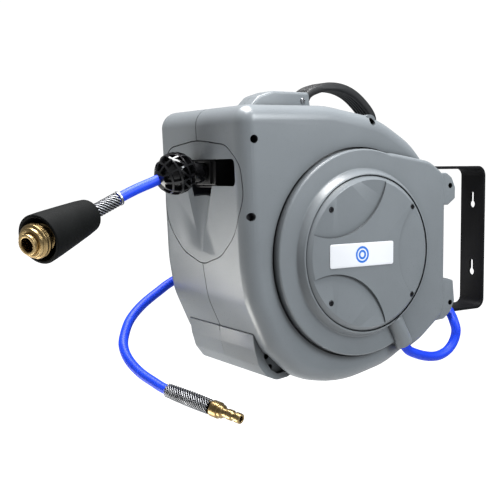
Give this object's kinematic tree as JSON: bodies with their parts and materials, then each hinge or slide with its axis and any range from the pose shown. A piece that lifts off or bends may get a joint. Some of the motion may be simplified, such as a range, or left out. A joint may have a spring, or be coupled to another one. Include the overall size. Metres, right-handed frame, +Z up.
{
  "type": "retractable air hose reel",
  "caption": "Wall-mounted retractable air hose reel with a moulded case, swivelling strap bracket, carrying handle, stop ball, quick coupler and a trailing inlet hose.",
  "frame": {"origin": "centre of the wall plate's back face", "axes": "+X towards the labelled side, -Y away from the wall towards the hose outlet, +Z up"},
  "size_m": [0.2626, 0.6858, 0.3884],
  "materials": {
    "shell_plastic": "satin moulded plastic",
    "black_plastic": "matt moulded plastic",
    "gloss_black": "glossy moulded plastic",
    "blue_hose": "smooth polyurethane",
    "black_rubber": "matt rubber",
    "brass": "turned brass",
    "bright_steel": "zinc-plated steel",
    "dark_steel": "blackened steel",
    "roller_nylon": "black nylon",
    "black_powder_coat": "powder coat",
    "blank_label": "printed film"
  },
  "bodies": {
    "bracket": {"wall_bracket": "black_powder_coat", "pivot_rod": "bright_steel", "pivot_nut": "bright_steel", "washer_top": "bright_steel", "washer_bottom": "bright_steel"},
    "housing": {"near_shell": "shell_plastic", "far_shell": "shell_plastic", "mouth_panel": "shell_plastic", "near_cover": "shell_plastic", "far_cover": "shell_plastic", "handle": "black_plastic", "label": "blank_label", "guide_frame": "black_plastic", "roller_pin_top": "bright_steel", "roller_pin_bottom": "bright_steel", "roller_pin_near": "bright_steel", "roller_pin_far": "bright_steel", "pawl_pin": "bright_steel", "axle": "bright_steel", "swivel_body": "brass", "inlet_hose": "blue_hose", "inlet_guard": "bright_steel", "inlet_plug": "brass", "cover_screw_near_0": "dark_steel", "cover_screw_near_1": "dark_steel", "cover_screw_near_2": "dark_steel", "cover_screw_near_3": "dark_steel", "cover_screw_far_0": "dark_steel", "cover_screw_far_1": "dark_steel", "cover_screw_far_2": "dark_steel", "cover_screw_far_3": "dark_steel", "shell_screw_0": "dark_steel", "shell_screw_1": "dark_steel"},
    "hose_run": {"outlet_hose": "blue_hose", "stop_ball_near": "gloss_black", "stop_ball_far": "gloss_black", "outlet_guard": "bright_steel", "outlet_collar": "bright_steel", "rubber_boot": "black_rubber", "coupler_body": "brass"},
    "drum": {"drum_hub": "black_plastic", "drum_flange_near": "black_plastic", "drum_flange_far": "black_plastic", "ratchet_ring": "black_plastic", "spring_case": "bright_steel", "main_spring": "bright_steel", "wound_hose": "blue_hose"},
    "roller_top": {"roller_top": "roller_nylon"},
    "roller_bottom": {"roller_bottom": "roller_nylon"},
    "roller_near": {"roller_near": "roller_nylon"},
    "roller_far": {"roller_far": "roller_nylon"},
    "pawl": {"pawl": "bright_steel"},
    "release_sleeve": {"release_sleeve": "brass"},
    "valve_poppet": {"valve_poppet": "black_plastic"}
  },
  "joints": [
    {"name": "reel_swivel", "type": "hinge", "parent": "bracket", "child": "housing", "pos_m": [0, -0.131, 0], "axis": [0, 0, 1], "range_deg": [-80, 80]},
    {"name": "hose_pull", "type": "slide", "parent": "housing", "child": "hose_run", "axis": [0, -1, 0], "range_m": [0, 0.12], "stiffness_N_per_m": 60},
    {"name": "drum_spin", "type": "hinge", "parent": "housing", "child": "drum", "pos_m": [0, -0.296, 0.002], "axis": [1, 0, 0], "range_deg": [0, 73]},
    {"name": "roller_top_spin", "type": "hinge", "parent": "housing", "child": "roller_top", "pos_m": [0, -0.438, 0.108], "axis": [1, 0, 0], "continuous": true},
    {"name": "roller_bottom_spin", "type": "hinge", "parent": "housing", "child": "roller_bottom", "pos_m": [0, -0.438, 0.086], "axis": [1, 0, 0], "continuous": true},
    {"name": "roller_near_spin", "type": "hinge", "parent": "housing", "child": "roller_near", "pos_m": [0.011, -0.425, 0.097], "axis": [0, 0, 1], "continuous": true},
    {"name": "roller_far_spin", "type": "hinge", "parent": "housing", "child": "roller_far", "pos_m": [-0.011, -0.425, 0.097], "axis": [0, 0, 1], "continuous": true},
    {"name": "pawl_swing", "type": "hinge", "parent": "housing", "child": "pawl", "pos_m": [0.072, -0.33458, 0.0975], "axis": [1, 0, 0], "range_deg": [0, 12], "stiffness_Nm_per_rad": 0.02},
    {"name": "release_sleeve_slide", "type": "slide", "parent": "hose_run", "child": "release_sleeve", "axis": [-0.443, 0.8589, 0.257], "range_m": [0, 0.004], "stiffness_N_per_m": 800},
    {"name": "valve_poppet_slide", "type": "slide", "parent": "hose_run", "child": "valve_poppet", "axis": [-0.443, 0.8589, 0.257], "range_m": [0, 0.005], "stiffness_N_per_m": 600}
  ],
  "couplings": [
    {"joint": "drum_spin", "follows": "hose_pull", "rad_per_m": 10.526}
  ]
}
